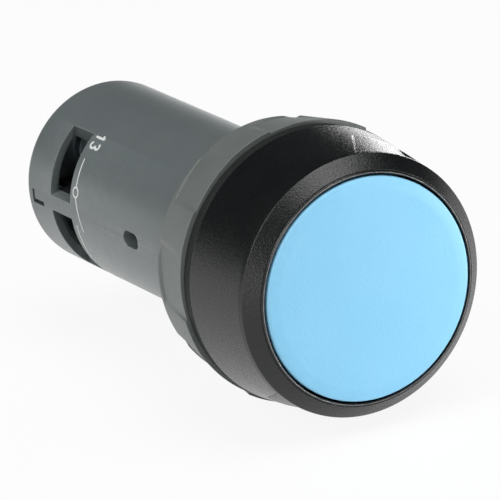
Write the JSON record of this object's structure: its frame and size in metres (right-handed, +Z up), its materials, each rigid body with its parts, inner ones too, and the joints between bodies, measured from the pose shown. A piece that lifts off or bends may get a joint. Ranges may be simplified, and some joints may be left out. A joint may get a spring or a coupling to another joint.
{
  "type": "panel push button",
  "caption": "Compact round panel push button with a flush blue cap, black bezel, lugged mounting nut and a grey terminal barrel that holds a normally open contact.",
  "frame": {"origin": "on the button's axis at the panel's front face, where the gasket seats", "axes": "+Z up, the cap faces -Y and the barrel runs back along +Y; the wire windows face -X"},
  "size_m": [0.0298, 0.0568, 0.0298],
  "materials": {
    "blue_cap": "fine matte",
    "black_plastic": "satin moulded",
    "gasket_rubber": "matte",
    "nut_grey": "matte moulded",
    "barrel_grey": "semi-gloss moulded",
    "inner_plastic": "moulded",
    "white_plastic": "moulded",
    "spring_steel": "drawn wire",
    "zinc_steel": "zinc plated",
    "brass": "stamped",
    "silver": "silver contact"
  },
  "bodies": {
    "housing": {"bezel": "black_plastic", "panel_gasket": "gasket_rubber", "barrel": "barrel_grey", "rear_cover": "barrel_grey", "plunger_seal": "gasket_rubber", "return_spring": "spring_steel", "contact_block": "inner_plastic", "fixed_contact_13": "brass", "fixed_contact_14": "brass", "fixed_tip_13": "silver", "fixed_tip_14": "silver"},
    "button": {"button_cap": "blue_cap", "plunger": "white_plastic", "contact_carrier": "white_plastic", "bridge_spring": "spring_steel"},
    "bridge": {"contact_bridge": "brass", "bridge_tip_13": "silver", "bridge_tip_14": "silver"},
    "nut": {"mounting_nut": "nut_grey"},
    "screw_13": {"terminal_screw_13": "zinc_steel"},
    "screw_14": {"terminal_screw_14": "zinc_steel"},
    "cage_13": {"terminal_cage_13": "zinc_steel"},
    "cage_14": {"terminal_cage_14": "zinc_steel"}
  },
  "joints": [
    {"name": "button_press", "type": "slide", "parent": "housing", "child": "button", "axis": [0, 1, 0], "range_m": [0, 0.004], "stiffness_N_per_m": 1000, "springref_m": -0.003, "deforming": ["return_spring"]},
    {"name": "bridge_lift", "type": "slide", "parent": "button", "child": "bridge", "axis": [0, -1, 0], "range_m": [0, 0.0016], "deforming": ["bridge_spring"]},
    {"name": "nut_slide", "type": "slide", "parent": "housing", "child": "nut", "axis": [0, 1, 0], "range_m": [0, 0.05]},
    {"name": "screw_13_turn", "type": "hinge", "parent": "housing", "child": "screw_13", "pos_m": [-0.0022, 0.0425, 0.0039], "axis": [0, -1, 0], "range_deg": [0, 1296]},
    {"name": "cage_13_lift", "type": "slide", "parent": "housing", "child": "cage_13", "axis": [0, 1, 0], "range_m": [0, 0.0018]},
    {"name": "screw_14_turn", "type": "hinge", "parent": "housing", "child": "screw_14", "pos_m": [-0.0022, 0.0425, -0.0039], "axis": [0, -1, 0], "range_deg": [0, 1296]},
    {"name": "cage_14_lift", "type": "slide", "parent": "housing", "child": "cage_14", "axis": [0, 1, 0], "range_m": [0, 0.0018]}
  ],
  "couplings": [
    {"joint": "bridge_lift", "follows": "button_press", "ratio": 0.4},
    {"joint": "screw_13_turn", "follows": "cage_13_lift", "rad_per_m": 12566},
    {"joint": "screw_14_turn", "follows": "cage_14_lift", "rad_per_m": 12566}
  ]
}
